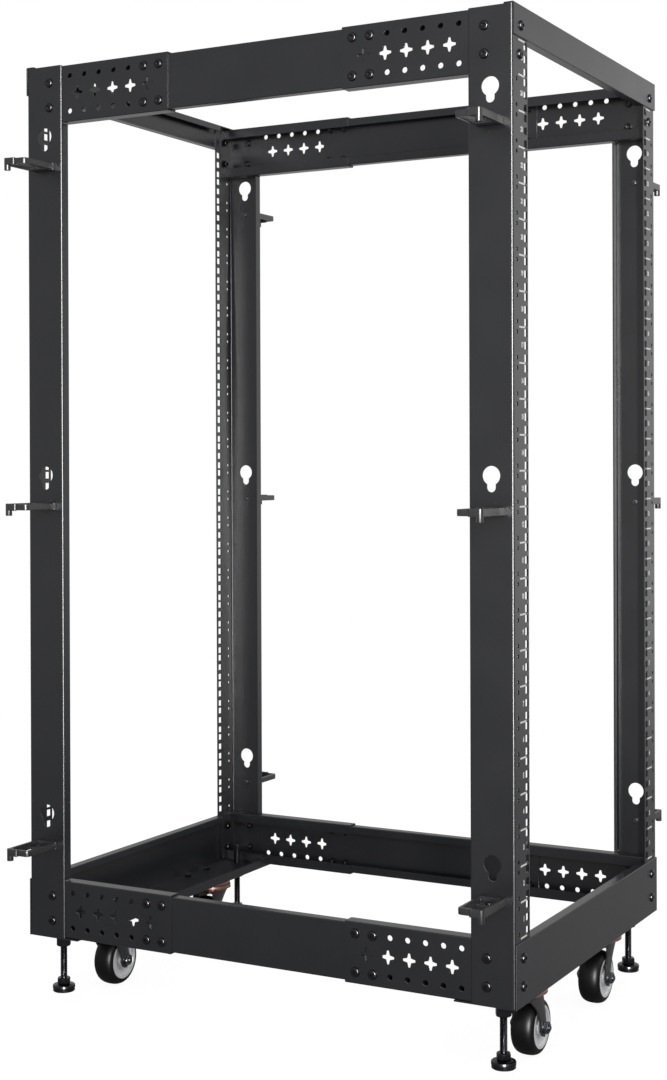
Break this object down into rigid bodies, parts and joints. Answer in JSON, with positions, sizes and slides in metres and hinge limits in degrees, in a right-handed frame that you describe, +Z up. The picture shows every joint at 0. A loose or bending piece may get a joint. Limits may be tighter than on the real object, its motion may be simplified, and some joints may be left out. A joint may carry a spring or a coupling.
{
  "type": "four post open frame rack",
  "caption": "Open frame equipment rack: four square-holed posts joined by beams and telescoping side rails, on swivel casters, with levelling feet and cable hooks.",
  "frame": {"origin": "on the floor under the middle of the rack, at the bottom centre of its bounding box", "axes": "+Z up, X across the rack, and the numbered front of the rack faces -Y, so the depth runs along Y"},
  "size_m": [0.686, 0.756, 1.3405],
  "materials": {
    "black_powder_coat": "fine-texture black powder coat",
    "black_bolt": "black oxide, slightly glossy",
    "black_plastic": "moulded black plastic",
    "black_foot": "black zinc, semi-gloss",
    "black_fork": "black electrocoat, satin",
    "copper_bearing": "coppered steel, dull",
    "zinc_bolt": "bright zinc",
    "black_tyre": "smooth black rubber",
    "grey_hub": "moulded light grey nylon"
  },
  "bodies": {
    "frame": {"post_front_left": "black_powder_coat", "post_rear_left": "black_powder_coat", "post_front_right": "black_powder_coat", "post_rear_right": "black_powder_coat", "top_beam_front": "black_powder_coat", "top_beam_rear": "black_powder_coat", "bottom_beam_front": "black_powder_coat", "bottom_beam_rear": "black_powder_coat", "lower_rail_front_left": "black_powder_coat", "lower_rail_rear_left": "black_powder_coat", "lower_rail_front_right": "black_powder_coat", "lower_rail_rear_right": "black_powder_coat", "lower_rail_middle_left": "black_powder_coat", "lower_rail_middle_right": "black_powder_coat", "upper_rail_front_left": "black_powder_coat", "upper_rail_rear_left": "black_powder_coat", "upper_rail_front_right": "black_powder_coat", "upper_rail_rear_right": "black_powder_coat", "upper_rail_middle_left": "black_powder_coat", "upper_rail_middle_right": "black_powder_coat", "beam_bolts_front": "black_bolt", "beam_bolts_rear": "black_bolt", "cable_hooks_front_left": "black_plastic", "cable_hooks_rear_left": "black_plastic", "cable_hooks_front_right": "black_plastic", "cable_hooks_rear_right": "black_plastic", "levelling_nuts": "black_bolt", "caster_plates": "black_fork", "caster_bearings": "copper_bearing"},
    "caster_front_left": {"caster_fork_front_left": "black_fork", "caster_axle_front_left": "zinc_bolt"},
    "wheel_front_left": {"caster_tyre_front_left": "black_tyre", "caster_hub_front_left": "grey_hub"},
    "foot_front_left": {"levelling_foot_front_left": "black_foot"},
    "caster_rear_left": {"caster_fork_rear_left": "black_fork", "caster_axle_rear_left": "zinc_bolt"},
    "wheel_rear_left": {"caster_tyre_rear_left": "black_tyre", "caster_hub_rear_left": "grey_hub"},
    "foot_rear_left": {"levelling_foot_rear_left": "black_foot"},
    "caster_front_right": {"caster_fork_front_right": "black_fork", "caster_axle_front_right": "zinc_bolt"},
    "wheel_front_right": {"caster_tyre_front_right": "black_tyre", "caster_hub_front_right": "grey_hub"},
    "foot_front_right": {"levelling_foot_front_right": "black_foot"},
    "caster_rear_right": {"caster_fork_rear_right": "black_fork", "caster_axle_rear_right": "zinc_bolt"},
    "wheel_rear_right": {"caster_tyre_rear_right": "black_tyre", "caster_hub_rear_right": "grey_hub"},
    "foot_rear_right": {"levelling_foot_rear_right": "black_foot"}
  },
  "joints": [
    {"name": "swivel_front_left", "type": "hinge", "parent": "frame", "child": "caster_front_left", "pos_m": [-0.144, -0.3325, 0.092], "axis": [0, 0, 1], "continuous": true},
    {"name": "roll_front_left", "type": "hinge", "parent": "caster_front_left", "child": "wheel_front_left", "pos_m": [-0.124, -0.3325, 0.0375], "axis": [0, 1, 0], "continuous": true},
    {"name": "level_front_left", "type": "slide", "parent": "frame", "child": "foot_front_left", "axis": [0, 0, 1], "range_m": [-0.018, 0.04]},
    {"name": "swivel_rear_left", "type": "hinge", "parent": "frame", "child": "caster_rear_left", "pos_m": [-0.144, 0.3325, 0.092], "axis": [0, 0, 1], "continuous": true},
    {"name": "roll_rear_left", "type": "hinge", "parent": "caster_rear_left", "child": "wheel_rear_left", "pos_m": [-0.124, 0.3325, 0.0375], "axis": [0, 1, 0], "continuous": true},
    {"name": "level_rear_left", "type": "slide", "parent": "frame", "child": "foot_rear_left", "axis": [0, 0, 1], "range_m": [-0.018, 0.04]},
    {"name": "swivel_front_right", "type": "hinge", "parent": "frame", "child": "caster_front_right", "pos_m": [0.144, -0.3325, 0.092], "axis": [0, 0, 1], "continuous": true},
    {"name": "roll_front_right", "type": "hinge", "parent": "caster_front_right", "child": "wheel_front_right", "pos_m": [0.124, -0.3325, 0.0375], "axis": [0, 1, 0], "continuous": true},
    {"name": "level_front_right", "type": "slide", "parent": "frame", "child": "foot_front_right", "axis": [0, 0, 1], "range_m": [-0.018, 0.04]},
    {"name": "swivel_rear_right", "type": "hinge", "parent": "frame", "child": "caster_rear_right", "pos_m": [0.144, 0.3325, 0.092], "axis": [0, 0, 1], "continuous": true},
    {"name": "roll_rear_right", "type": "hinge", "parent": "caster_rear_right", "child": "wheel_rear_right", "pos_m": [0.124, 0.3325, 0.0375], "axis": [0, 1, 0], "continuous": true},
    {"name": "level_rear_right", "type": "slide", "parent": "frame", "child": "foot_rear_right", "axis": [0, 0, 1], "range_m": [-0.018, 0.04]}
  ]
}
